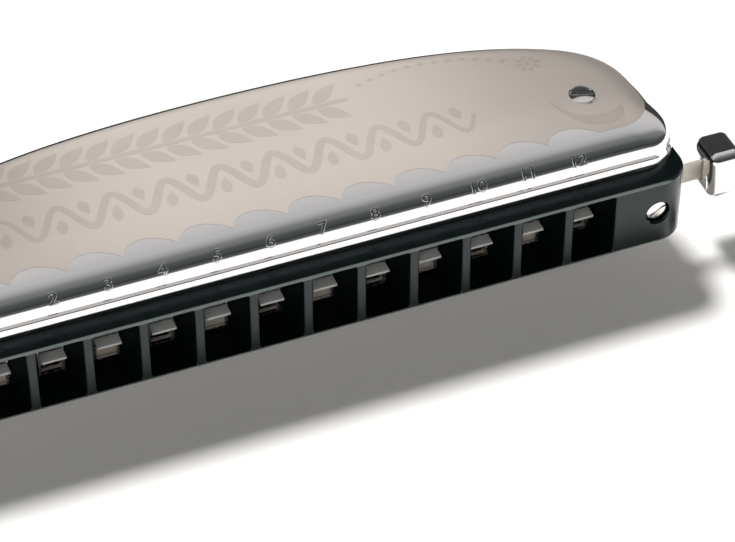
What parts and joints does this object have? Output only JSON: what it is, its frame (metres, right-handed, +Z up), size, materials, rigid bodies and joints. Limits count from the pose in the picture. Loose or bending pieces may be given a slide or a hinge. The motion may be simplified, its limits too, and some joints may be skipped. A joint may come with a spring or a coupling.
{
  "type": "chromatic harmonica",
  "caption": "Slide chromatic harmonica: black comb and mouthpiece between bowed metal covers, with a sprung slide button at one end.",
  "frame": {"origin": "halfway along the mouth holes, in the flat of the bottom cover that the harmonica lies on", "axes": "+X along the mouth holes to the slide button, -Y to the player's lips, +Z up through the top cover"},
  "size_m": [0.1495, 0.0418, 0.029],
  "materials": {
    "black_plastic": "glossy black moulding",
    "cover_steel": "polished, with a satin panel on the top",
    "nickel": "satin nickel plate",
    "brass": "rolled brass",
    "spring_steel": "bright drawn wire"
  },
  "bodies": {
    "harmonica_body": {"mouthpiece": "black_plastic", "comb": "black_plastic", "slide_guide_front": "nickel", "slide_guide_back": "nickel", "return_spring": "spring_steel", "top_cover": "cover_steel", "bottom_cover": "cover_steel", "top_reed_plate": "brass", "bottom_reed_plate": "brass", "draw_reed_top_01": "brass", "draw_reed_top_02": "brass", "draw_reed_top_03": "brass", "draw_reed_top_04": "brass", "draw_reed_top_05": "brass", "draw_reed_top_06": "brass", "draw_reed_top_07": "brass", "draw_reed_top_08": "brass", "draw_reed_top_09": "brass", "draw_reed_top_10": "brass", "draw_reed_top_11": "brass", "draw_reed_top_12": "brass", "draw_reed_bottom_01": "brass", "draw_reed_bottom_02": "brass", "draw_reed_bottom_03": "brass", "draw_reed_bottom_04": "brass", "draw_reed_bottom_05": "brass", "draw_reed_bottom_06": "brass", "draw_reed_bottom_07": "brass", "draw_reed_bottom_08": "brass", "draw_reed_bottom_09": "brass", "draw_reed_bottom_10": "brass", "draw_reed_bottom_11": "brass", "draw_reed_bottom_12": "brass", "cover_screw_top_left": "nickel", "cover_screw_top_right": "nickel", "cover_screw_bottom_left": "nickel", "cover_screw_bottom_right": "nickel", "plate_screw_top_1": "nickel", "plate_screw_top_2": "nickel", "plate_screw_top_3": "nickel", "plate_screw_bottom_1": "nickel", "plate_screw_bottom_2": "nickel", "plate_screw_bottom_3": "nickel", "mouthpiece_screw_left": "nickel", "mouthpiece_screw_right": "nickel"},
    "slide": {"slide": "nickel", "slide_button": "cover_steel"}
  },
  "joints": [
    {"name": "slide_press", "type": "slide", "parent": "harmonica_body", "child": "slide", "axis": [-1, 0, 0], "range_m": [0, 0.0046], "stiffness_N_per_m": 300, "springref_m": -0.002, "deforming": ["return_spring"]}
  ]
}
